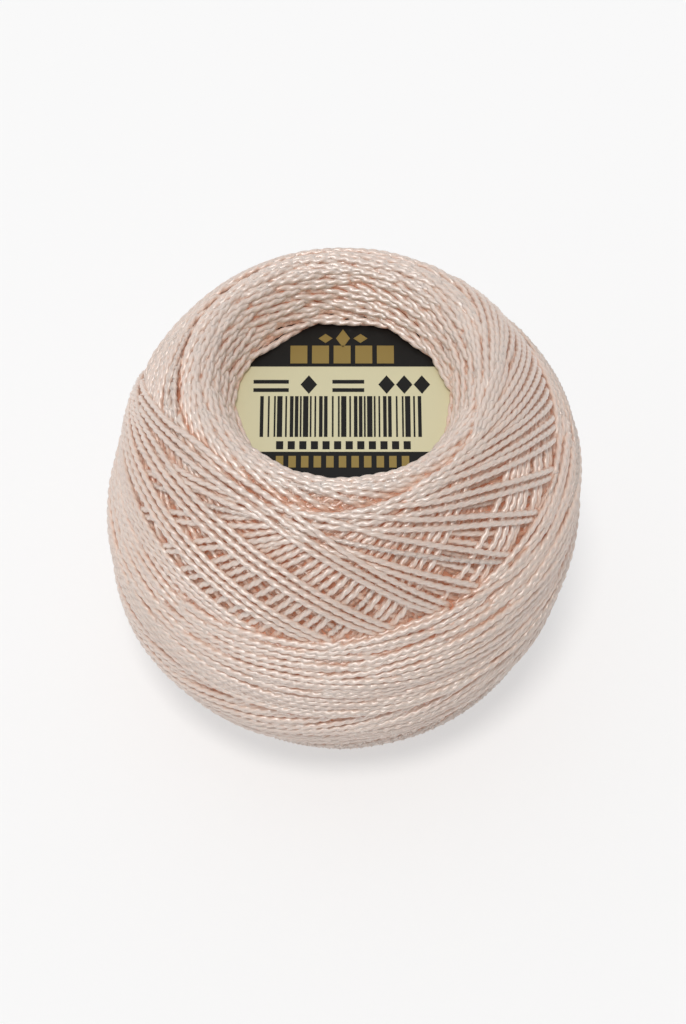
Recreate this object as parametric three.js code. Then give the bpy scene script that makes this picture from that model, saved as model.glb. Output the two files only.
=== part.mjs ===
// Ball of pearl cotton: one wound mass of thread with a funnel-shaped hole in its top, and the round
// paper label that lies at the bottom of that hole. Millimetres, +Z up, the ball standing on the flat
// ring that its weight presses into the underside, with z = 0 on that ring and the Z axis as its axis.

import * as THREE from 'three';

// Outer form, from the plane of the widest turns.
const BALL_RADIUS = 20.6; // under the outer band, which stands a little prouder
const WIDEST_HEIGHT = 17.5; // of that plane above the surface the ball stands on
const CROWN_RISE = 23.4; // how far the upper curve would rise if no hole cut it
const KEEL_DROP = 21.2; // the same for the lower curve
const CURVE_POWER = 2.19; // 2 would be an ellipse; the ball's shoulders are fuller

// The hole in the top and the smaller dimple in the underside.
const LIP_CREST_RADIUS = 12.0;
const LIP_CREST_HEIGHT = WIDEST_HEIGHT + 19.3;
const LIP_ROUNDING = 2.0;
const FUNNEL_SLOPE = THREE.MathUtils.degToRad(56);
const REST_RING_INNER = 11.0;
const REST_RING_OUTER = 12.6;
const KEEL_TURN = 1.2; // from the rest ring out to where the lower curve begins
const DIMPLE_FLOOR_RADIUS = 7.6;
const DIMPLE_DEPTH = 4.6;

// Label: a paper-faced card disc whose edge is tucked under the innermost turns.
const LABEL_RADIUS = 8.9;
const LABEL_THICKNESS = 0.8;
const LABEL_TOP = WIDEST_HEIGHT + 14.1;
const CLEARANCE = 0.3;
const THROAT_RADIUS = 8.5;

// Facets: around the axis, and along each stretch of the profile.
const TURNS_AROUND = 88;
const OUTER_STEPS = 38;
const LIP_STEPS = 4;
const FUNNEL_STEPS = 4;
const LABEL_SEGMENTS = 64;

// Main twists. The thread is laid in near-flat loops around the ball, each tilted to the axis, and the
// loops of one stage lie in bundles whose highest points step around the ball. tilt, apex and apexStep
// are in degrees, apex from the front (-Y) towards +X; halfWidth and height are in millimetres.
const WINDING_STAGES = [
  { name: 'ring round the hole', tilt: 60, apex: 15, apexStep: 72, bundles: 5, halfWidth: 1.8, height: 0.5 },
  { name: 'crossing, laid first', tilt: 47, apex: 55, apexStep: 40, bundles: 3, halfWidth: 1.7, height: 0.4 },
  { name: 'crossing, laid last', tilt: 44, apex: -100, apexStep: 34, bundles: 4, halfWidth: 1.8, height: 0.6 },
];

// Outer band: the last stage, nearly square to the axis and packed close.
const BAND = { tilt: 8, apex: 115, halfWidth: 7.9, edge: 1.4, height: 0.45 };
const BAND_TWISTS = [
  { tilt: 14, apex: 60, halfWidth: 0.9, height: 0.2 },
  { tilt: 17, apex: 200, halfWidth: 0.9, height: 0.2 },
  { tilt: 11, apex: 320, halfWidth: 0.9, height: 0.2 },
];

const threadMaterial = new THREE.MeshStandardMaterial({ color: 0xe6d3c4, roughness: 0.55, metalness: 0 });
const labelMaterial = new THREE.MeshStandardMaterial({ color: 0xdcd6b8, roughness: 0.7, metalness: 0 });

// Height of the uncut curve above (or below) the widest plane at a distance from the axis.
function curveHeight(radius, rise) {
  const rest = 1 - Math.pow(radius / BALL_RADIUS, CURVE_POWER);
  return rise * Math.pow(Math.max(rest, 0), 1 / CURVE_POWER);
}

// Angle of the uncut curve to the horizontal at a distance from the axis.
function curveSlope(radius, rise) {
  const ratio = radius / curveHeight(radius, rise);
  return Math.atan(Math.pow(rise / BALL_RADIUS, CURVE_POWER) * Math.pow(ratio, CURVE_POWER - 1));
}

// Half profile of the wound mass, closed on the axis at both ends. relief is how much of the bundles'
// height shows at that point: none on the rest ring and in the seat of the label.
function woundProfile() {
  const profile = [];
  const add = (radius, height, relief) => profile.push({ radius, height, relief });

  add(0, DIMPLE_DEPTH, 0);
  add(DIMPLE_FLOOR_RADIUS, DIMPLE_DEPTH, 0);
  add((DIMPLE_FLOOR_RADIUS + REST_RING_INNER) / 2, DIMPLE_DEPTH / 2 - 0.4, 0.3);
  add(REST_RING_INNER, 0, 0);
  add(REST_RING_OUTER, 0, 0);

  const lipStart = LIP_CREST_RADIUS + LIP_ROUNDING * Math.sin(curveSlope(LIP_CREST_RADIUS + 1, CROWN_RISE));
  const lowest = Math.acos((REST_RING_OUTER + KEEL_TURN) / BALL_RADIUS);
  const highest = Math.acos((lipStart + 0.4) / BALL_RADIUS);
  for (let step = 0; step <= OUTER_STEPS; step++) {
    const angle = THREE.MathUtils.lerp(-lowest, highest, step / OUTER_STEPS);
    const radius = BALL_RADIUS * Math.cos(angle);
    const rise = angle < 0 ? -KEEL_DROP : CROWN_RISE;
    const height = Math.sign(rise) * curveHeight(radius, Math.abs(rise));
    add(radius, WIDEST_HEIGHT + height, Math.min(1, step / 3));
  }

  const lipHeight = LIP_CREST_HEIGHT - LIP_ROUNDING;
  const outerTurn = curveSlope(lipStart, CROWN_RISE);
  for (let step = 0; step <= LIP_STEPS; step++) {
    const turn = THREE.MathUtils.lerp(outerTurn, -FUNNEL_SLOPE, step / LIP_STEPS);
    add(LIP_CREST_RADIUS + LIP_ROUNDING * Math.sin(turn), lipHeight + LIP_ROUNDING * Math.cos(turn), 0.8);
  }

  const funnelTop = profile[profile.length - 1];
  const seatTop = LABEL_TOP + CLEARANCE;
  for (let step = 1; step <= FUNNEL_STEPS; step++) {
    const along = step / FUNNEL_STEPS;
    const radius = THREE.MathUtils.lerp(funnelTop.radius, THROAT_RADIUS, along);
    const height = THREE.MathUtils.lerp(funnelTop.height, seatTop + CLEARANCE, along);
    add(radius, height, 0.6 * (1 - along));
  }
  add(THROAT_RADIUS, seatTop, 0);
  add(LABEL_RADIUS + CLEARANCE, seatTop, 0);
  add(LABEL_RADIUS + CLEARANCE, LABEL_TOP - LABEL_THICKNESS - CLEARANCE, 0);
  add(0, LABEL_TOP - LABEL_THICKNESS - CLEARANCE, 0);
  return profile;
}

// Distance of a point on the ball from the plane of a tilted loop, in millimetres.
function distanceFromLoop(point, tilt, apex) {
  const tiltAngle = THREE.MathUtils.degToRad(tilt);
  const apexAngle = THREE.MathUtils.degToRad(apex);
  const across = point.x * Math.sin(apexAngle) - point.y * Math.cos(apexAngle);
  return point.z * Math.cos(tiltAngle) - across * Math.sin(tiltAngle);
}

function ridge(distance, halfWidth, height) {
  return height * Math.exp(-Math.pow(distance / halfWidth, 2));
}

// How far the bundles stand out at a point given from the ball's centre.
function windingRelief(point) {
  let relief = 0;
  for (const stage of WINDING_STAGES) {
    for (let bundle = 0; bundle < stage.bundles; bundle++) {
      const distance = distanceFromLoop(point, stage.tilt, stage.apex + bundle * stage.apexStep);
      relief = Math.max(relief, ridge(distance, stage.halfWidth, stage.height));
    }
  }
  const fromBand = Math.abs(distanceFromLoop(point, BAND.tilt, BAND.apex));
  const cover = THREE.MathUtils.smoothstep(BAND.halfWidth + BAND.edge - fromBand, 0, BAND.edge);
  let bandRelief = BAND.height;
  for (const twist of BAND_TWISTS) {
    bandRelief += ridge(distanceFromLoop(point, twist.tilt, twist.apex), twist.halfWidth, twist.height);
  }
  return THREE.MathUtils.lerp(relief, bandRelief, cover);
}

// The wound mass: the profile turned around the axis, with every point moved out along the profile's
// own normal by the relief of the bundles.
function woundThread() {
  const profile = woundProfile();
  const points = profile.map((point) => new THREE.Vector2(point.radius, point.height));
  const geometry = new THREE.LatheGeometry(points, TURNS_AROUND);
  geometry.rotateX(Math.PI / 2);
  const position = geometry.getAttribute('position');
  const normal = geometry.getAttribute('normal');
  const point = new THREE.Vector3();
  for (let index = 0; index < position.count; index++) {
    const share = profile[index % profile.length].relief;
    if (share === 0) continue;
    point.fromBufferAttribute(position, index);
    const fromCentre = new THREE.Vector3(point.x, point.y, point.z - WIDEST_HEIGHT);
    const outward = new THREE.Vector3().fromBufferAttribute(normal, index);
    point.addScaledVector(outward, share * windingRelief(fromCentre));
    position.setXYZ(index, point.x, point.y, point.z);
  }
  geometry.computeVertexNormals();
  return geometry;
}

function label() {
  const bottom = LABEL_TOP - LABEL_THICKNESS;
  const outline = [
    new THREE.Vector2(0, bottom),
    new THREE.Vector2(LABEL_RADIUS, bottom),
    new THREE.Vector2(LABEL_RADIUS, LABEL_TOP),
    new THREE.Vector2(0, LABEL_TOP),
  ];
  const geometry = new THREE.LatheGeometry(outline, LABEL_SEGMENTS);
  geometry.rotateX(Math.PI / 2);
  return geometry;
}

function namedMesh(name, geometry, material) {
  const mesh = new THREE.Mesh(geometry, material);
  mesh.name = name;
  return mesh;
}

const ball = new THREE.Group();
ball.add(namedMesh('wound_thread', woundThread(), threadMaterial));
ball.add(namedMesh('label', label(), labelMaterial));

export default ball;
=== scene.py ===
import math

import bmesh
import bpy
import numpy as np
from mathutils import Matrix, Vector


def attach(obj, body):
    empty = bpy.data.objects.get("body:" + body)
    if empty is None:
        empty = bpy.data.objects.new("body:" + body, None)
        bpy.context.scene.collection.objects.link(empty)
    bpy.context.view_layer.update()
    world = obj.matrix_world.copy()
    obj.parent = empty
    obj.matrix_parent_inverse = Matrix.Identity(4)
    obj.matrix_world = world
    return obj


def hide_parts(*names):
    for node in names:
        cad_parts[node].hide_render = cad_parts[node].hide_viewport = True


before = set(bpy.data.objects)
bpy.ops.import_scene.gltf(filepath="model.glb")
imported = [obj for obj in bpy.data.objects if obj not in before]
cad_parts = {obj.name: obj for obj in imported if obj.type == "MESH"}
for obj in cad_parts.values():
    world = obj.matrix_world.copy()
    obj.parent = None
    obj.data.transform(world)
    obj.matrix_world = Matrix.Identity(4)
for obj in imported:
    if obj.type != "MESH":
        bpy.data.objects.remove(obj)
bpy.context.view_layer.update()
MM = 0.001

# ---------------------------------------------------------------------------------------------------
# Camera. It looks down at the ball from the front at 54 degrees, so that the hole in the top and the
# label at the bottom of it both show, and aims at the ball's axis a little under its widest turns.
# ---------------------------------------------------------------------------------------------------
WIDEST = 17.5 * MM                       # height of the widest turns above the surface
CAMERA_ELEVATION = math.radians(54)
CAMERA_DISTANCE = 0.2667
aim = Vector((0, 0, WIDEST - 1.28 * MM))

camera_data = bpy.data.cameras.new("camera")
camera_data.sensor_width = 36
camera_data.lens = 105.8
camera = bpy.data.objects.new("camera", camera_data)
back_and_up = Vector((0, -math.cos(CAMERA_ELEVATION), math.sin(CAMERA_ELEVATION)))
camera.location = aim + CAMERA_DISTANCE * back_and_up
camera.rotation_euler = (math.pi / 2 - CAMERA_ELEVATION, 0, 0)
bpy.context.scene.collection.objects.link(camera)
bpy.context.scene.camera = camera

# ---------------------------------------------------------------------------------------------------
# Wound thread: its form. About 80 m of two-ply pearl cotton, wound on a machine into a ball whose
# loops pass round a funnel-shaped hole at the top and a dimple underneath. The half profile runs from
# the dimple, over the ring that the ball stands on, round the outside, over the lip and down the
# funnel to the label. Everything in this section is in millimetres until a mesh is made.
# ---------------------------------------------------------------------------------------------------
BALL_RADIUS = 20.95
CROWN_RISE = 23.4                        # of the outer curve above the widest turns, if no hole cut it
KEEL_DROP = 23.0                         # of the same curve below them
CURVE_POWER = 2.19                       # 2 would be an ellipse; the shoulders are fuller
CROWN_END = 13.6                         # radius where the upper curve gives way to the lip
KEEL_END = 14.7                          # and where the lower one gives way to the resting ring
LIP_RADIUS = 12.0                        # of the highest ring of the lip, from the axis
LIP_RISE = 19.3                          # of that ring above the widest turns
LIP_ROUNDING = 2.0
LIP_OUTER_SLOPE = math.radians(38)       # of the lip where it meets the outer curve
FUNNEL_SLOPE = math.radians(56)
THROAT_RADIUS = 7.9
THROAT_RISE = 14.1                       # the label's face, above the widest turns
REST_RADIUS = 11.8                       # of the ring that the ball stands on
DIMPLE_RADIUS = 7.6
DIMPLE_DEPTH = 4.6
CELL = 0.1                               # grid of the laid surface, along the profile
CORNER_BLUR = 0.5                        # length over which the profile's corners are rounded off
widest = WIDEST / MM


def form_profile():
    """The half profile as evenly spaced (radius, height) arrays, its corners rounded off."""
    corners = [(DIMPLE_RADIUS, DIMPLE_DEPTH), (REST_RADIUS - 1.4, 0.9), (REST_RADIUS - 0.6, 0.2)]
    corners += [(REST_RADIUS, 0.0), (REST_RADIUS + 1.6, 0.1)]
    for angle in np.linspace(-math.acos(KEEL_END / BALL_RADIUS), math.acos(CROWN_END / BALL_RADIUS), 80):
        radius = BALL_RADIUS * math.cos(angle)
        rise = CROWN_RISE if angle > 0 else -KEEL_DROP
        share = (1 - (radius / BALL_RADIUS) ** CURVE_POWER) ** (1 / CURVE_POWER)
        corners.append((radius, widest + rise * share))
    for angle in np.linspace(LIP_OUTER_SLOPE, -FUNNEL_SLOPE, 24):
        radius = LIP_RADIUS + LIP_ROUNDING * math.sin(angle)
        corners.append((radius, widest + LIP_RISE - LIP_ROUNDING * (1 - math.cos(angle))))
    corners.append((THROAT_RADIUS, widest + THROAT_RISE + 0.2))
    corners = np.array(corners)
    along = np.r_[0, np.cumsum(np.hypot(*np.diff(corners, axis=0).T))]
    steps = int(along[-1] / CELL) // 4 * 4
    places = np.arange(steps) * CELL
    blur = np.exp(-0.5 * (np.arange(-12, 13) / (CORNER_BLUR / CELL)) ** 2)
    blur /= blur.sum()
    smooth = []
    for column in corners.T:
        even = np.interp(places, along, column)
        padded = np.r_[2 * even[0] - even[12:0:-1], even, 2 * even[-1] - even[-2:-14:-1]]
        smooth.append(np.convolve(padded, blur, "valid"))
    return places, smooth[0], smooth[1]


profile_s, profile_r, profile_z = form_profile()
slope_r = np.gradient(profile_r, CELL)
slope_z = np.gradient(profile_z, CELL)
slope_length = np.hypot(slope_r, slope_z)
normal_r = slope_z / slope_length
normal_z = -slope_r / slope_length

# Latitude against place on the profile. Past the latitudes where the lips begin, a loop's latitude
# goes on counting evenly over the lip and down the wall of the funnel or the dimple.
LIP_LATITUDE = 54
KEEL_LATITUDE = -50
MM_PER_DEGREE = 0.4
latitude_of = np.degrees(np.arctan2(profile_z - widest, profile_r))
outside = np.where((latitude_of > KEEL_LATITUDE) & (latitude_of < LIP_LATITUDE))[0]
first, last = outside[0], outside[-1]
table_latitude = np.r_[KEEL_LATITUDE - (profile_s[first] - profile_s[0]) / MM_PER_DEGREE,
                       latitude_of[first:last + 1],
                       LIP_LATITUDE + (profile_s[-1] - profile_s[last]) / MM_PER_DEGREE]
table_s = np.r_[profile_s[0], profile_s[first:last + 1], profile_s[-1]]

# ---------------------------------------------------------------------------------------------------
# Wound thread: its winding. The thread is one two-ply cord, 0.55 mm thick, laid in loops that are
# each nearly flat. A stage tilts its loops to the ball's axis by so many degrees, and turns their
# highest point back round the ball by a step each turn. Small steps lay the turns side by side.
# ---------------------------------------------------------------------------------------------------
THREAD_RADIUS = 0.275
PLY_PITCH = 2.15                         # length in which each ply goes once round the other
SECTION_SIDES = 8
STEP = PLY_PITCH / SECTION_SIDES         # so the section turns by just one of its sides each step

# The turns of a stage come in groups, with a gap between the groups that is a share of the stage's
# way. A group can also fan out, its turns lying side by side at their highest points. Stages that go
# more than once round the ball keep an even pace, and gather into ropes one above another instead.
#          stage        turns  tilt from, to   sweep  group  gap    fan   stray
WINDING = [
    ("funnel",         275,    74.1, 60.0,    1800,   55,   0.45,   0.0,  0.25),
    ("collar",          48,    59.0, 57.0,     360,   48,   0.0,    0.0,  0.4),
    ("crossing",        64,    51.5, 49.0,     359,    1,   0.0,    0.0,  0.4),
    ("rope",            17,    58.0, 52.5,      68,    1,   0.0,    0.0,  0.3),
    ("ladder",           8,    51.5, 48.0,      60,    2,   0.6,    3.0,  0.4),
    ("shoulder",        12,    55.6, 24.0,      40,    3,   0.42,   0.0,  0.2),
    ("band_edge",       44,    23.5, 21.0,     480,    4,   0.0,    2.0,  0.5),
    ("band",           110,    20.5,  8.0,    1000,    5,   0.0,    6.0,  0.6),
]
TOGETHER = 0.12                          # share of its way that a group's highest points spread over
SHOULDER_END = -74.0                     # where the last loop of the shoulder has its highest point
BAND_TILT = 8.0                          # the outer band as a whole leans by this much
BAND_TOWARDS = 115.0                     # and stands highest on this side, from the front towards +X
PLACES_A_TURN = 480
FLAT_SHARE = 0.6                         # of each loop round its top; the rest carries it over to the next


def winding_path():
    """Azimuth, latitude and stage of the thread at even angles round its loops."""
    chance = np.random.default_rng(4)
    tilts, apexes, stages = [], [], []
    start = 0.0
    for number, (name, turns, tilt_from, tilt_to, sweep, group, gap, fan, stray) in enumerate(WINDING):
        for turn in range(turns):
            which, within = divmod((turn + 0.5) / group, 1)
            done = (which + 0.5 + (1 - gap) * (within - 0.5)) * group / turns
            aim_tilt = tilt_from + (tilt_to - tilt_from) * done - fan * (within - 0.5)
            tilts.append(aim_tilt + chance.normal(0, stray))
            if sweep < 360:
                pace = (which + 0.5 + TOGETHER * (within - 0.5)) * group / turns
            else:
                pace = (turn + 0.5) / turns
            apexes.append(start - sweep * pace + chance.normal(0, 1.5 * stray))
            stages.append(number)
        start -= sweep
    tilts, apexes, stages = np.array(tilts), np.array(apexes), np.array(stages)
    names = [row[0] for row in WINDING]
    shoulder = np.where(stages == names.index("shoulder"))[0]
    apexes += SHOULDER_END - apexes[shoulder[-1]]
    lean = np.interp(np.arange(len(tilts)), [shoulder[0], shoulder[-1] + len(shoulder)], [0, 1])
    turn = np.arange(len(tilts) * PLACES_A_TURN) / PLACES_A_TURN
    knots = (np.arange(len(tilts))[:, None] + [-FLAT_SHARE / 2, FLAT_SHARE / 2]).reshape(-1)
    tilt = np.radians(np.interp(turn, knots, np.repeat(tilts, 2)))
    apex = np.radians(np.interp(turn, knots, np.repeat(apexes, 2)))
    lean = np.radians(BAND_TILT) * np.interp(turn, np.arange(len(tilts)), lean)
    round_loop = 2 * math.pi * turn
    high = np.stack([np.cos(tilt) * np.cos(apex), np.cos(tilt) * np.sin(apex), np.sin(tilt)], 1)
    level = np.stack([-np.sin(apex), np.cos(apex), np.zeros_like(apex)], 1)
    way = np.cos(round_loop)[:, None] * high + np.sin(round_loop)[:, None] * level
    hinge = np.array([math.sin(math.radians(BAND_TOWARDS)), -math.cos(math.radians(BAND_TOWARDS)), 0.0])
    c, s = np.cos(lean)[:, None], np.sin(lean)[:, None]
    way = way * c + np.cross(hinge, way) * s + (way @ hinge)[:, None] * hinge * (1 - c)
    azimuth = np.unwrap(np.arctan2(way[:, 1], way[:, 0]))
    latitude = np.degrees(np.arcsin(np.clip(way[:, 2], -1, 1)))
    return azimuth, latitude, stages, turn


HOLE_FORWARD = 0.5                       # the foot of the funnel lies this far in front of the axis,
FUNNEL_LENGTH = 8.0                      # and comes back to the axis over this length of the profile


def on_form(azimuth, s, height=0.0):
    """Points on the form, or that high above it. Azimuth 0 is the front (-Y), and +X comes next."""
    radius = np.interp(s, profile_s, profile_r) + height * np.interp(s, profile_s, normal_r)
    z = np.interp(s, profile_s, profile_z) + height * np.interp(s, profile_s, normal_z)
    forward = HOLE_FORWARD * np.clip((s - profile_s[-1]) / FUNNEL_LENGTH + 1, 0, 1)
    return np.stack([radius * np.sin(azimuth), -radius * np.cos(azimuth) - forward, z], 1)


AROUND = 1320                            # cells of the laid surface round the axis
BLOCK = 4                                # cells to a side in its coarse copy
cells_along = len(profile_s)
cell_angle = 2 * math.pi / AROUND
BLUR_WEIGHTS = np.exp(-0.5 * (np.arange(-8, 9) / 2.8) ** 2)
BLUR_WEIGHTS /= BLUR_WEIGHTS.sum()


def cell_of(azimuth, s):
    """The cells of the laid surface that these places fall in."""
    column = np.clip(np.round(s / CELL).astype(int), 0, cells_along - 1)
    return np.round(azimuth / cell_angle).astype(int) % AROUND, column


def between_blocks(cells, closed):
    """For each cell, the middles of the blocks either side of it, and how far it is on from the first."""
    place = (np.arange(cells) + 0.5) / BLOCK - 0.5
    before = np.floor(place).astype(int)
    ends = [i % (cells // BLOCK) if closed else np.clip(i, 0, cells // BLOCK - 1) for i in (before, before + 1)]
    return *ends, (place - before).astype(np.float32)


def blurred(laid):
    """The laid surface, blurred over about a millimetre on a coarse copy of the grid."""
    coarse = laid.reshape(AROUND // BLOCK, BLOCK, cells_along // BLOCK, BLOCK).mean((1, 3))
    padded = np.pad(coarse, ((8, 8), (0, 0)), mode="wrap")
    coarse = sum(weight * padded[i:i + len(coarse)] for i, weight in enumerate(BLUR_WEIGHTS))
    padded = np.pad(coarse, ((0, 0), (8, 8)), mode="edge")
    coarse = sum(weight * padded[:, i:i + coarse.shape[1]] for i, weight in enumerate(BLUR_WEIGHTS))
    first, second, share = between_blocks(AROUND, True)
    rows = coarse[first] * (1 - share)[:, None] + coarse[second] * share[:, None]
    first, second, share = between_blocks(cells_along, False)
    return (rows[:, first] * (1 - share) + rows[:, second] * share).astype(np.float32)


PROBE = 0.12                             # between the places beside a turn that are felt for a hollow
SLIDE_COST = 0.15                        # height that a turn has to gain for each mm that it slides
SLIDE_SOFTNESS = 0.05                    # in height, between rests that draw a turn almost alike
TURN_LENGTH = 130                        # laid at a time, about once round the ball
HOLLOW_RADIUS = 8.0                      # of the tightest hollow that a taut turn follows
TOO_HIGH = 0.35                          # a crest this far above what lies round it is pressed down,
TOO_LOW = 0.8                            # and a pit this far below it is closed by the turns beside it,
SETTLING = 0.8                           # by this share of what is over


def lay_thread():
    """Lays the thread turn by turn on a grid of heights.

    Each turn slides a little into the hollows beside it, rests on what it crosses and bridges what
    lies between, and then the turns beneath settle under it.
    """
    azimuth, latitude, stages, turn = winding_path()
    s = np.interp(latitude, table_latitude, table_s)
    walked = np.r_[0, np.cumsum(np.linalg.norm(np.diff(on_form(azimuth, s), axis=0), axis=1))]
    count = int(walked[-1] / STEP)
    even = np.arange(count) * STEP
    azimuth, s, turn = (np.interp(even, walked, column) for column in (azimuth, s, turn))
    stage = stages[np.clip(np.round(turn).astype(int), 0, len(stages) - 1)]
    radius = np.interp(s, profile_s, profile_r)
    along_a, along_s = np.gradient(azimuth) * radius, np.gradient(s)
    length = np.hypot(along_a, along_s)
    along_a, along_s = along_a / length, along_s / length
    laid = np.zeros((AROUND, cells_along), np.float32)
    on_top = np.full((AROUND, cells_along), -1, np.int32)
    height = np.zeros(count, np.float32)
    probes = np.arange(-5, 6) * PROBE
    slides = np.arange(-3, 4) * PROBE
    ease = np.exp(-0.5 * (np.arange(-24, 25) / 7.0) ** 2)
    ease /= ease.sum()
    chunk = int(TURN_LENGTH / STEP)
    before = 40
    last_slide = 0.0

    for start in range(0, count, chunk):
        part = slice(start, min(count, start + chunk))
        a, b, r, ta, ts = azimuth[part], s[part], radius[part], along_a[part], along_s[part]
        beside = np.array([laid[cell_of(a + p * ts / r, b - p * ta)] for p in probes])
        rests = []
        for slide in slides:
            near = np.abs(probes - slide) < THREAD_RADIUS
            rise = np.sqrt(THREAD_RADIUS ** 2 - (probes[near] - slide) ** 2)
            rests.append((beside[near] + rise[:, None]).max(0) + SLIDE_COST * abs(slide))
        rests = np.array(rests)
        pull = np.exp((rests.min(0) - rests) / SLIDE_SOFTNESS)
        slide = (pull * slides[:, None]).sum(0) / pull.sum(0)
        slide = np.convolve(np.pad(slide, 24, mode="edge"), ease, "valid")
        if start:
            blend = np.linspace(0, 1, min(16, len(slide)))
            slide[:16] = slide[:16] * blend + last_slide * (1 - blend)
        last_slide = slide[-1]
        a, b = a + slide * ts / r, b - slide * ta
        azimuth[part], s[part] = a, b

        row, column = np.round(a / cell_angle).astype(int), np.round(b / CELL).astype(int)
        reach = int(math.ceil(THREAD_RADIUS / (r.min() * cell_angle))) + 1
        rest = np.full(len(a), -1.0, np.float32)
        prints = []
        for down in range(-3, 4):
            j = column + down
            inside = (j >= 0) & (j < cells_along)
            j = np.clip(j, 0, cells_along - 1)
            off_s = j * CELL - b
            for over in range(-reach, reach + 1):
                i = row + over
                off_a = (i * cell_angle - a) * r
                i = i % AROUND
                across = off_a * ts - off_s * ta
                under_step = np.abs(off_a * ta + off_s * ts) <= 0.6 * STEP + 0.03
                hit = inside & under_step & (np.abs(across) < THREAD_RADIUS)
                if not hit.any():
                    continue
                arc = np.sqrt(np.maximum(THREAD_RADIUS ** 2 - across ** 2, 0)).astype(np.float32)
                rest = np.where(hit, np.maximum(rest, laid[i, j] + arc), rest)
                prints.append((hit, i, j, arc))

        context = max(0, start - before)
        line = np.r_[height[context:start], rest]
        fixed = start - context
        held = line.copy()
        for _ in range(3):
            for span in (8, 4, 2, 1):
                sag = (span * STEP) ** 2 / (2 * HOLLOW_RADIUS)
                bridge = 0.5 * (line[:-2 * span] + line[2 * span:]) - sag
                line[span:-span] = np.maximum(line[span:-span], bridge)
            line[:fixed] = held[:fixed]
        weights = np.array([1, 2, 3, 2, 1]) / 9
        line = np.maximum(np.convolve(np.pad(line, 2, mode="edge"), weights, "valid"), held - 0.04)
        height[part] = line[fixed:]
        for hit, i, j, arc in prints:
            which = np.where(hit)[0]
            top = height[part][which] + arc[which]
            rises = top > laid[i[which], j[which]]
            which, top = which[rises], top[rises]
            laid[i[which], j[which]] = top
            on_top[i[which], j[which]] = start + which

        level = blurred(laid)
        sinking = SETTLING * np.clip(laid - level - TOO_HIGH, 0, None)
        closing = SETTLING * np.clip(level - TOO_LOW - laid, 0, None)
        settle = closing - sinking
        laid += settle
        height[:part.stop] += settle[cell_of(azimuth[:part.stop], s[:part.stop])]
    return azimuth, s, height, stage, turn, laid, on_top


thread_a, thread_s, thread_h, thread_stage, thread_turn, laid, on_top = lay_thread()

# ---------------------------------------------------------------------------------------------------
# Wound thread: the cord itself, wherever it shows. Two plies twist round each other to the left, so
# the section has two lobes and turns as it goes along. Turns hidden beneath others are left out, and
# what can be seen between the deepest of them is the inside of the ball.
# ---------------------------------------------------------------------------------------------------
LOBES = np.array([0.28, 0.255, 0.175, 0.255, 0.28, 0.255, 0.175, 0.255])
LONGEST_PIECE = 11000                    # rings of thread in one joined mesh
COARSE_BELOW = -38                       # under this latitude, every second ring is left out,
COARSE_BEHIND = -0.35                    # and so it is on the back, where the azimuth's cosine is below this
FUNNEL_LATITUDE = 48                     # and the turns don't pass over into the hole, whose far wall shows,
COARSE_DEEP = -0.45                      # and wherever the crest is this far below the mean
FULLNESS = {0.18: 1.06, 0.35: 1.06, 0.6: 0.98}   # of the thread, which spreads where turns press together
# Latitude against how deep the gaps go: least in the close-wound band, most where the turns cross.
GAP_LATITUDES = [-60, -40, -10, 17, 26, 50, 58, 74]
GAP_DEPTHS = [0.4, 0.25, 0.18, 0.18, 0.6, 0.6, 0.25, 0.2]
LEVEL_PART = 0.06                        # crests this far below the mean stay where they were laid
HIGH_PART = 0.35                         # of what stands above it, this and the gap's depth are kept
UNDER_GAPS = 0.2                         # of the inside of the ball below the deepest turns that show
BEHIND_LABEL = 1.3                       # it stands back by this much round the label's edge
CORE_STRIDE = 6                          # cells of the laid surface to each of its faces
KEPT_RELIEF = 0.4                        # share of the broad hills and hollows of the laying that is kept
TOPS_ABOVE = 0.45                        # of the outermost turns over the laid surface's mean
STEEPEST = 0.7                           # slope that a taut thread can follow
OPEN_GAPS = 0.5                          # deeper gaps than this are open work, whose lower turns show
DEEPEST_SEEN = -0.9                      # crests below this are lost in the dark of the open gaps
ENOUGH_CELLS = 3                         # of the laid surface, for a sample that lies on top to be seen


def outward(azimuth, s):
    """The form's normals at these places."""
    level = np.interp(s, profile_s, normal_r)
    return np.stack([level * np.sin(azimuth), -level * np.cos(azimuth), np.interp(s, profile_s, normal_z)], 1)


def colour(code):
    """An sRGB hex colour as a linear RGBA tuple."""
    parts = [int(code[i:i + 2], 16) / 255 for i in (1, 3, 5)]
    linear = [p / 12.92 if p <= 0.04045 else ((p + 0.055) / 1.055) ** 2.4 for p in parts]
    return (*linear, 1.0)


def piece_from(name, mesh, material, slot, *nodes):
    """Puts a mesh in the scene as one piece of the ball."""
    piece = bpy.data.objects.new(name, mesh)
    bpy.context.scene.collection.objects.link(piece)
    mesh.materials.append(material)
    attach(piece, "root")
    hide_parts(*nodes)
    return piece


def pressed(crest, gap_depth):
    """Heights of crests, the deep ones drawn up so that none is deeper than the gaps here."""
    below = np.minimum(crest + LEVEL_PART, 0)
    above = crest * np.clip(HIGH_PART + gap_depth, 0, 1)
    return np.where(below < 0, -LEVEL_PART - gap_depth * (1 - np.exp(below / gap_depth)), above)


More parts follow.
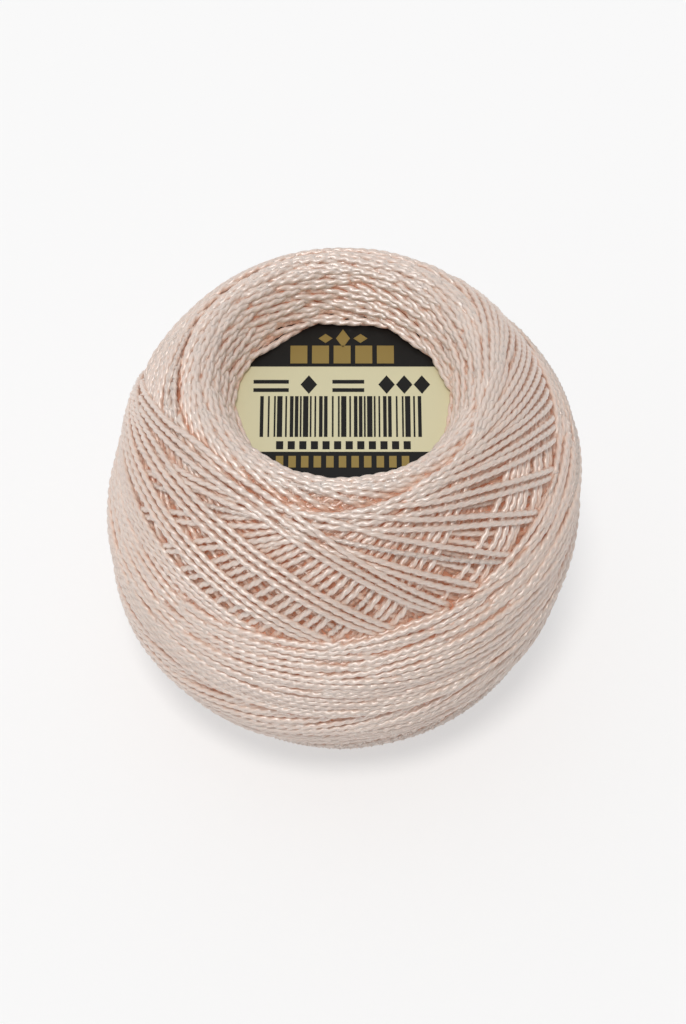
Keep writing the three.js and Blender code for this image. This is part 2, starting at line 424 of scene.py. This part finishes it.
def seen_runs():
    """Lists of following samples that lie on top somewhere, with a little of the thread either side."""
    open_work = np.interp(thread_s, profile_s, gap_depths) > OPEN_GAPS
    seen = np.bincount(on_top[on_top >= 0], minlength=len(thread_s)) >= ENOUGH_CELLS
    seen &= ~(open_work & (thread_crest < DEEPEST_SEEN))
    for step in range(5):
        wider = seen[1:-1] | seen[:-2] | seen[2:]
        seen[1:-1] = np.where(open_work[1:-1] | (step < 2), wider, seen[1:-1])
    edges = np.flatnonzero(np.diff(np.r_[0, seen.astype(int), 0]))
    runs = []
    for first, end in zip(edges[::2], edges[1::2]):
        start = first
        for cut in range(first + 1, end + 1):
            if cut == end or thread_stage[cut] != thread_stage[start]:
                if cut - start > 3:
                    runs.append((start, cut))
                start = cut
    return runs


def eased(height):
    """Heights along the thread without the drops that a taut thread can't follow."""
    lifted = height.copy()
    for apart in range(1, 13):
        drop = STEEPEST * apart * STEP
        lifted[apart:] = np.maximum(lifted[apart:], height[:-apart] - drop)
        lifted[:-apart] = np.maximum(lifted[:-apart], height[apart:] - drop)
    weights = np.exp(-0.5 * (np.arange(-4, 5) / 1.5) ** 2)
    return np.convolve(np.pad(lifted, 4, mode="edge"), weights / weights.sum(), "valid")


local_level = blurred(laid)
level_spread = np.exp(-0.5 * (np.arange(-90, 91) * CELL / 3.0) ** 2)
level = np.convolve(np.pad(laid.mean(0), 90, mode="edge"), level_spread / level_spread.sum(), "valid")
local = local_level[cell_of(thread_a, thread_s)]
thread_crest = thread_h + THREAD_RADIUS - local
# How deep each turn lies below the turns round it. The cotton's colour is painted darker and more orange by it,
# and it glows more: painted shade and painted glow in the gaps.
thread_depth = np.clip(0.3 - thread_crest, 0, 2)
thread_latitude = np.interp(thread_s, table_s, table_latitude)
gap_depths = np.interp(np.interp(profile_s, table_s, table_latitude), GAP_LATITUDES, GAP_DEPTHS)
fullness = np.interp(np.interp(thread_s, profile_s, gap_depths), list(FULLNESS), list(FULLNESS.values()))
broad = KEPT_RELIEF * (local - np.interp(thread_s, profile_s, level))
crests = pressed(thread_crest, np.interp(thread_s, profile_s, gap_depths))
thread_lift = eased(crests - THREAD_RADIUS + broad - TOPS_ABOVE)
thread_middle = on_form(thread_a, thread_s, thread_lift)
ways = np.gradient(thread_middle, axis=0)
ways /= np.linalg.norm(ways, axis=1, keepdims=True)
outs = outward(thread_a, thread_s)
outs -= (outs * ways).sum(1, keepdims=True) * ways
outs /= np.linalg.norm(outs, axis=1, keepdims=True)
sides = np.cross(outs, ways)
turn_tints = np.random.default_rng(7).normal(0, 1, int(thread_turn[-1]) + 2)
thread_tint = np.interp(thread_turn, np.arange(len(turn_tints)), turn_tints)


def thread_mesh(name, runs):
    """One mesh of the tubes round these runs of samples."""
    rings, starts, run_of = [], [], []
    for number, (first, end) in enumerate(runs):
        coarse = thread_latitude[first] < COARSE_BELOW
        centre = (first + end) // 2
        coarse |= thread_latitude[first] < FUNNEL_LATITUDE and math.cos(thread_a[centre]) < COARSE_BEHIND
        coarse |= thread_crest[centre] < COARSE_DEEP
        taken = np.arange(first, end, 2 if coarse else 1)
        starts.append(sum(map(len, rings)))
        rings.append(taken)
        run_of.append(np.full(len(taken), number))
    counts = np.array([len(taken) for taken in rings])
    starts = np.array(starts)
    sample, run_of = np.concatenate(rings), np.concatenate(run_of)
    lobe = np.arange(SECTION_SIDES)
    angle = 2 * math.pi / SECTION_SIDES * ((lobe[None] - sample[:, None]) % SECTION_SIDES)
    ends = np.zeros(len(sample), bool)
    ends[starts] = True
    ends[starts + counts - 1] = True
    reach = LOBES[None] * (np.where(ends, 0.6, 1.0) * fullness[sample])[:, None]
    points = (thread_middle[sample][:, None] + (reach * np.cos(angle))[..., None] * sides[sample][:, None]
              + (reach * np.sin(angle))[..., None] * outs[sample][:, None])
    points[..., 2] = np.maximum(points[..., 2], 0.0)
    ring = np.flatnonzero(run_of[:-1] == run_of[1:])
    first_corner = ring[:, None] * SECTION_SIDES
    next_lobe = (lobe + 1) % SECTION_SIDES
    quads = np.stack([first_corner + lobe, first_corner + next_lobe, first_corner + SECTION_SIDES + next_lobe,
                      first_corner + SECTION_SIDES + lobe], -1).reshape(-1)
    back_caps = (starts[:, None] * SECTION_SIDES + lobe[::-1]).reshape(-1)
    front_caps = ((starts + counts - 1)[:, None] * SECTION_SIDES + lobe).reshape(-1)
    corners = np.concatenate([quads, back_caps, front_caps])
    quad_count, cap_count = len(quads) // 4, 2 * len(runs)
    face_starts = np.r_[np.arange(quad_count) * 4, 4 * quad_count + np.arange(cap_count) * SECTION_SIDES]

    mesh = bpy.data.meshes.new(name)
    mesh.vertices.add(points.shape[0] * SECTION_SIDES)
    mesh.vertices.foreach_set("co", (points * MM).astype(np.float32).reshape(-1))
    mesh.loops.add(len(corners))
    mesh.loops.foreach_set("vertex_index", corners.astype(np.int32))
    mesh.polygons.add(len(face_starts))
    mesh.polygons.foreach_set("loop_start", face_starts.astype(np.int32))
    mesh.update(calc_edges=True)
    mesh.validate()
    mesh.shade_smooth()
    space = np.empty((len(sample), SECTION_SIDES, 3), np.float32)
    space[..., 0] = ((sample - sample[starts][run_of]) * STEP + 37.0 * (run_of % 53))[:, None]
    space[..., 1] = LOBES * np.cos(2 * math.pi * lobe / SECTION_SIDES)
    space[..., 2] = LOBES * np.sin(2 * math.pi * lobe / SECTION_SIDES)
    mesh.attributes.new("thread_space", "FLOAT_VECTOR", "POINT").data.foreach_set("vector", space.reshape(-1))
    # How far each point lies from the outer crest of its ply, down its flank and into the groove between the
    # plies. The cotton's colour is painted duller there, and it glows a little more: painted shade and painted
    # glow.
    flank = (1 - (reach / LOBES.max()) * np.sin(angle)).astype(np.float32)
    mesh.attributes.new("flank", "FLOAT", "POINT").data.foreach_set("value", flank.reshape(-1))
    for label, values in (("depth", thread_depth), ("tint", thread_tint)):
        spread = np.repeat(values[sample].astype(np.float32), SECTION_SIDES)
        mesh.attributes.new(label, "FLOAT", "POINT").data.foreach_set("value", spread)
    return mesh


def add_node(material, kind, inputs=None, **settings):
    """Adds a node to a material, with settings on the node and values or links on its sockets."""
    node = material.node_tree.nodes.new(kind)
    for name, value in settings.items():
        setattr(node, name, value)
    for socket, value in (inputs or {}).items():
        if isinstance(value, bpy.types.NodeSocket):
            material.node_tree.links.new(value, node.inputs[socket])
        else:
            node.inputs[socket].default_value = value
    return node


def new_material(name, **values):
    """A material with one Principled shader, and that shader."""
    material = bpy.data.materials.new(name)
    material.use_nodes = True
    shader = material.node_tree.nodes["Principled BSDF"]
    for socket, value in values.items():
        shader.inputs[socket.replace("_", " ")].default_value = value
    return material, shader


# Pearl cotton: long-staple cotton, plied, singed and mercerised under tension, which gives it the
# shine of a string of pearls. Fibres lie along each ply, so the shine comes in fine streaks 0.05 mm
# wide. Between the plies and down in the gaps the light has met dyed cotton many times, and the pale
# pink turns to a light orange and then to a dull orange. That is painted shade: the base colour is
# painted darker and more orange the deeper a turn lies, and duller down the flanks of each ply. The
# light that wanders there is painted as a faint glow.
cotton, cotton_shader = new_material("pearl cotton", Roughness=0.36, IOR=1.8, Specular_IOR_Level=0.8,
                                     Sheen_Weight=0.1, Sheen_Roughness=0.4,
                                     Subsurface_Weight=0.6, Subsurface_Radius=(1.0, 0.9, 0.85),
                                     Subsurface_Scale=0.35 * MM, Emission_Strength=0.2)
place = add_node(cotton, "ShaderNodeAttribute", attribute_name="thread_space")
depth = add_node(cotton, "ShaderNodeAttribute", attribute_name="depth")
flank = add_node(cotton, "ShaderNodeAttribute", attribute_name="flank")
tint = add_node(cotton, "ShaderNodeAttribute", attribute_name="tint")
stretch = add_node(cotton, "ShaderNodeMapping", {"Vector": place.outputs["Vector"], "Scale": (0.8, 9.0, 9.0)})
fibres = add_node(cotton, "ShaderNodeTexNoise", {"Vector": stretch.outputs[0], "Scale": 1.0, "Detail": 2.0})
# Painted shade: the deeper a turn lies, the darker and more orange its base colour.
depth_shade_ramp = add_node(cotton, "ShaderNodeValToRGB", {"Fac": depth.outputs["Fac"]})
depth_shade_ramp.color_ramp.elements[0].position = 0.4
depth_shade_ramp.color_ramp.elements[0].color = colour("#dccabe")
depth_shade_ramp.color_ramp.elements[1].position = 1.0
depth_shade_ramp.color_ramp.elements[1].color = colour("#c0937a")
middle = depth_shade_ramp.color_ramp.elements.new(0.65)
middle.color = colour("#d5b8a6")
# Painted shade in the grooves between the plies and down the flanks: the colour there goes over to one dull
# pale orange-pink, darker than the crest of a turn on top.
groove_shade_share = add_node(cotton, "ShaderNodeMapRange", {0: flank.outputs["Fac"], 1: 0.4, 2: 1.2, 3: 0.0, 4: 1.0})
groove_shade_mix = {0: groove_shade_share.outputs[0], 6: depth_shade_ramp.outputs["Color"], 7: colour("#d7c1b3")}
groove_shaded = add_node(cotton, "ShaderNodeMix", groove_shade_mix, data_type="RGBA")
streaks = add_node(cotton, "ShaderNodeMapRange", {0: fibres.outputs[0], 1: 0.3, 2: 0.7, 3: 0.93, 4: 1.04})
turns = add_node(cotton, "ShaderNodeMapRange", {0: tint.outputs["Fac"], 1: -2.0, 2: 2.0, 3: 0.97, 4: 1.03})
both = add_node(cotton, "ShaderNodeMath", {0: streaks.outputs[0], 1: turns.outputs[0]}, operation="MULTIPLY")
shade = add_node(cotton, "ShaderNodeVectorMath", {0: groove_shaded.outputs[2], 3: both.outputs[0]}, operation="SCALE")
# Painted glow: the cotton glows faintly in a warmer copy of its colour, more the deeper it lies and down its
# flanks. It stands in for light that wanders between the turns.
warmed = add_node(cotton, "ShaderNodeVectorMath", {0: shade.outputs[0], 1: (1.0, 0.9, 0.85)},
                  operation="MULTIPLY")
down = add_node(cotton, "ShaderNodeMapRange", {0: depth.outputs["Fac"], 1: 0.1, 2: 0.9, 3: 0.15, 4: 0.8})
aside = add_node(cotton, "ShaderNodeMapRange", {0: flank.outputs["Fac"], 1: 0.5, 2: 1.2, 3: 0.0, 4: 0.3})
share = add_node(cotton, "ShaderNodeMath", {0: down.outputs[0], 1: aside.outputs[0]}, operation="ADD")
glow = add_node(cotton, "ShaderNodeVectorMath", {0: warmed.outputs[0], 3: share.outputs[0]}, operation="SCALE")
bump = add_node(cotton, "ShaderNodeBump", {"Height": fibres.outputs[0], "Strength": 0.3, "Distance": 0.03 * MM})
cotton.node_tree.links.new(shade.outputs[0], cotton_shader.inputs["Base Color"])
cotton.node_tree.links.new(glow.outputs[0], cotton_shader.inputs["Emission Color"])
cotton.node_tree.links.new(bump.outputs[0], cotton_shader.inputs["Normal"])

# The same cotton packed inside the ball, where hardly any light reaches it. Its matt, dull orange is
# painted shade in place of the pale pink of lit cotton, and its faint glow is painted light.
cotton_in_painted_shade, _ = new_material("cotton inside the ball, painted shade", Base_Color=colour("#c58e74"), Roughness=0.9,
                               Emission_Color=colour("#bd7c5e"), Emission_Strength=0.14)

runs = seen_runs()
stage_names = [row[0] for row in WINDING]
for number, stage_name in enumerate(stage_names):
    chosen = [run for run in runs if thread_stage[run[0]] == number]
    parts, rings_used = [[]], 0
    for run in chosen:
        if rings_used + run[1] - run[0] > LONGEST_PIECE:
            parts.append([])
            rings_used = 0
        parts[-1].append(run)
        rings_used += run[1] - run[0]
    for count, part in enumerate(parts):
        piece_name = f"{stage_name}_turns_{count + 1}"
        piece_from(piece_name, thread_mesh(piece_name, part), cotton, "thread", "wound_thread")


def inside_mesh():
    """The blurred laid surface, lowered, and closed across the hole and the dimple."""
    rows = np.arange(0, cells_along, CORE_STRIDE)
    columns = np.arange(0, AROUND, CORE_STRIDE)
    s = np.tile(rows * CELL, len(columns))
    azimuth = np.repeat(columns * cell_angle, len(rows))
    there = local_level[np.ix_(columns, rows)].reshape(-1)
    lift = KEPT_RELIEF * (there - np.interp(s, profile_s, level)) - TOPS_ABOVE - UNDER_GAPS
    lift -= np.interp(s, profile_s, gap_depths)
    lift -= BEHIND_LABEL * np.clip((s - profile_s[-1] + 3) / 2, 0, 1)
    points = on_form(azimuth, s, lift)
    points[:, 2] = np.maximum(points[:, 2], 0.4)
    ring = points.reshape(len(columns), len(rows), 3)
    ring[:, -1] = on_form(columns * cell_angle, np.full(len(columns), profile_s[-1]))
    ring[:, -1, 2] = widest + THROAT_RISE - 1.0
    core_bm = bmesh.new()
    grid = [[core_bm.verts.new(Vector(point) * MM) for point in column] for column in ring]
    for column, beside in zip(grid, grid[1:] + grid[:1]):
        for k in range(len(rows) - 1):
            core_bm.faces.new((column[k], beside[k], beside[k + 1], column[k + 1]))
    core_bm.faces.new([column[-1] for column in grid])
    core_bm.faces.new([column[0] for column in reversed(grid)])
    bmesh.ops.recalc_face_normals(core_bm, faces=core_bm.faces)
    mesh = bpy.data.meshes.new("inside_of_ball")
    core_bm.to_mesh(mesh)
    core_bm.free()
    mesh.shade_smooth()
    return mesh


piece_from("inside_of_ball", inside_mesh(), cotton_in_painted_shade, "thread", "wound_thread")

# ---------------------------------------------------------------------------------------------------
# Label. A disc of printed card at the bottom of the hole, held by the turns that pass over its edge.
# It is black with a cream band, and the printing on it is gold and black: plain bars, rules, squares
# and lozenges. In millimetres from the ball's axis, with y away from the front.
# ---------------------------------------------------------------------------------------------------
LABEL_RADIUS = 11.0
LABEL_TOP = WIDEST / MM + THROAT_RISE
CARD = 0.5
INK = 0.012                              # how far the printing stands proud of the card
BAND_TOP = 4.15
BAND_BOTTOM = -4.95


def disc_between(low, high, top, thickness):
    """A slice of the label's disc between two values of y, as a closed mesh."""
    bm = bmesh.new()
    bmesh.ops.create_cone(bm, cap_ends=True, segments=96, radius1=LABEL_RADIUS * MM, radius2=LABEL_RADIUS * MM,
                          depth=thickness * MM, matrix=Matrix.Translation((0, 0, (top - thickness / 2) * MM)))
    for value, way in ((low, -1), (high, 1)):
        if abs(value) < LABEL_RADIUS:
            cut = bmesh.ops.bisect_plane(bm, geom=bm.verts[:] + bm.edges[:] + bm.faces[:],
                                         plane_co=(0, value * MM, 0), plane_no=(0, way, 0), clear_outer=True)
            bmesh.ops.holes_fill(bm, edges=[e for e in cut["geom_cut"] if isinstance(e, bmesh.types.BMEdge)])
    bmesh.ops.recalc_face_normals(bm, faces=bm.faces)
    return bm


def printed(bm, outline):
    """Adds a thin printed shape with this outline, a list of (x, y) going anticlockwise."""
    base = bm.faces.new([bm.verts.new((x * MM, y * MM, LABEL_TOP * MM)) for x, y in outline])
    raised = bmesh.ops.extrude_face_region(bm, geom=[base])["geom"]
    tops = [v for v in raised if isinstance(v, bmesh.types.BMVert)]
    bmesh.ops.translate(bm, verts=tops, vec=(0, 0, INK * MM))


def rectangle(x, y, width, height):
    """The outline of an upright rectangle, from its lower left corner."""
    return [(x, y), (x + width, y), (x + width, y + height), (x, y + height)]


def lozenge(x, y, half_width, half_height):
    """The outline of a lozenge round its middle."""
    return [(x - half_width, y), (x, y - half_height), (x + half_width, y), (x, y + half_height)]


def print_row(bm, count, apart, x, y, width, height):
    """Adds a row of like rectangles, from the lower left corner of the first."""
    for step in range(count):
        printed(bm, rectangle(x + apart * step, y, width, height))


def finished(bm, name):
    """Turns a bmesh into a mesh with its normals outwards."""
    bmesh.ops.recalc_face_normals(bm, faces=bm.faces)
    mesh = bpy.data.meshes.new(name)
    bm.to_mesh(mesh)
    bm.free()
    return mesh


# Label card: coated paper, printed black all over but for the band. It has a slight satin gloss.
card_black, _ = new_material("black printed card", Base_Color=colour("#141311"), Roughness=0.5,
                             Specular_IOR_Level=0.25)
# The band: the same paper, printed a flat cream.
card_cream, _ = new_material("cream printed card", Base_Color=colour("#d2cca8"), Roughness=0.5)
# Gold ink: a metallic printing ink, dull and brownish beside real gold.
gold_ink, _ = new_material("gold ink", Base_Color=colour("#9a8348"), Roughness=0.45, Metallic=0.5)
# Black ink: offset printing ink, a little softer than pure black.
black_ink, _ = new_material("black ink", Base_Color=colour("#141311"), Roughness=0.55,
                            Specular_IOR_Level=0.25)

card_bm = disc_between(-LABEL_RADIUS, LABEL_RADIUS, LABEL_TOP - INK, CARD)
piece_from("label_card", finished(card_bm, "label_card"), card_black, "label_paper", "label")
band_bm = disc_between(BAND_BOTTOM, BAND_TOP, LABEL_TOP, INK)
piece_from("label_cream_band", finished(band_bm, "label_cream_band"), card_cream, "label_paper", "label")

# Upright bars, whose widths and spaces follow one plain rhythm, and a row of squares under them.
BAR_RHYTHM = [2, 1, 1, 3, 1, 2, 2, 1, 3, 1, 1, 2]
BAR_WIDTH = 0.15                         # of the thinnest bar
BAR_SPACE = 0.12                         # the thinnest space between two
black_bm = bmesh.new()
x, number = -7.0, 0
while x < 6.6:
    width = BAR_WIDTH * BAR_RHYTHM[number % len(BAR_RHYTHM)]
    printed(black_bm, rectangle(x, -3.4, width, 4.35))
    x += width + BAR_SPACE * BAR_RHYTHM[(number * 5 + 3) % len(BAR_RHYTHM)]
    number += 1
print_row(black_bm, 12, 0.97, -5.6, -4.7, 0.6, 0.85)
# Over the bars, two pairs of rules and four lozenges.
for x, width in ((-7.6, 3.0), (-0.9, 2.7)):
    printed(black_bm, rectangle(x, 1.4, width, 0.4))
    printed(black_bm, rectangle(x, 2.3, width, 0.4))
for x in (-2.9, 3.7, 5.2, 6.7):
    printed(black_bm, lozenge(x, 2.2, 0.7, 1.0))
black_mesh = finished(black_bm, "label_black_printing")
piece_from("label_black_printing", black_mesh, black_ink, "label_paper", "label")

# Five squares under three lozenges at the top, and a row of smaller ones at the lower edge.
gold_bm = bmesh.new()
print_row(gold_bm, 5, 1.85, -4.5, 4.5, 1.45, 1.95)
for x, half_height in ((-1.5, 0.5), (0, 1.0), (1.5, 0.5)):
    printed(gold_bm, lozenge(x, 7.25, 0.6, half_height))
print_row(gold_bm, 11, 1.05, -5.6, -6.6, 0.62, 1.2)
gold_mesh = finished(gold_bm, "label_gold_printing")
piece_from("label_gold_printing", gold_mesh, gold_ink, "label_paper", "label")

# ---------------------------------------------------------------------------------------------------
# Floor and light. A plain near-white sheet, lit from below as well as from above, under a soft lamp
# that is nearly overhead and a little in front, in a pale room. The shadow stays soft and close by.
# ---------------------------------------------------------------------------------------------------
# The sheet: matt white acrylic. Light comes through it too, so it has a glow and its shadows are pale.
floor_bm = bmesh.new()
bmesh.ops.create_grid(floor_bm, x_segments=1, y_segments=1, size=3.0)
floor_mesh = bpy.data.meshes.new("floor")
floor_bm.to_mesh(floor_mesh)
floor_bm.free()
floor_material, _ = new_material("lit white acrylic sheet", Base_Color=colour("#b0b0b0"), Roughness=0.9,
                                 Emission_Color=(1, 1, 1, 1), Emission_Strength=0.51)
floor_mesh.materials.append(floor_material)
floor = bpy.data.objects.new("floor", floor_mesh)
floor.location.z = -0.0002
bpy.context.scene.collection.objects.link(floor)

sun_data = bpy.data.lights.new("key_light", "SUN")
sun_data.energy = 1.55
sun_data.angle = math.radians(13)
sun_data.color = (1.0, 0.96, 0.915)
sun = bpy.data.objects.new("key_light", sun_data)
sun.rotation_euler = Vector((-0.06, -0.31, 0.95)).to_track_quat("Z", "Y").to_euler()
bpy.context.scene.collection.objects.link(sun)

# A broad lamp low in front on the left, aimed so that it only puts a shine on what is glossy.
shine_data = bpy.data.lights.new("shine_light", "SUN")
shine_data.energy = 1.15
shine_data.angle = math.radians(24)
shine = bpy.data.objects.new("shine_light", shine_data)
shine.rotation_euler = Vector((-0.4, -0.62, 0.7)).to_track_quat("Z", "Y").to_euler()
shine.visible_diffuse = False
bpy.context.scene.collection.objects.link(shine)

# The room is brighter above and behind to the left, where its pale walls and ceiling catch the light.
world = bpy.data.worlds.new("pale room")
world.use_nodes = True
sky = world.node_tree.nodes["Background"]
sky.inputs["Color"].default_value = (0.93, 0.96, 1.0, 1.0)
way_out = world.node_tree.nodes.new("ShaderNodeTexCoord")
towards_lamps = world.node_tree.nodes.new("ShaderNodeVectorMath")
towards_lamps.operation = "DOT_PRODUCT"
towards_lamps.inputs[1].default_value = (-0.16, 0.26, 0.2)
brightness = world.node_tree.nodes.new("ShaderNodeMath")
brightness.inputs[1].default_value = 0.41
world.node_tree.links.new(way_out.outputs["Generated"], towards_lamps.inputs[0])
world.node_tree.links.new(towards_lamps.outputs["Value"], brightness.inputs[0])
world.node_tree.links.new(brightness.outputs[0], sky.inputs["Strength"])
bpy.context.scene.world = world
bpy.context.scene.view_settings.view_transform = "Standard"
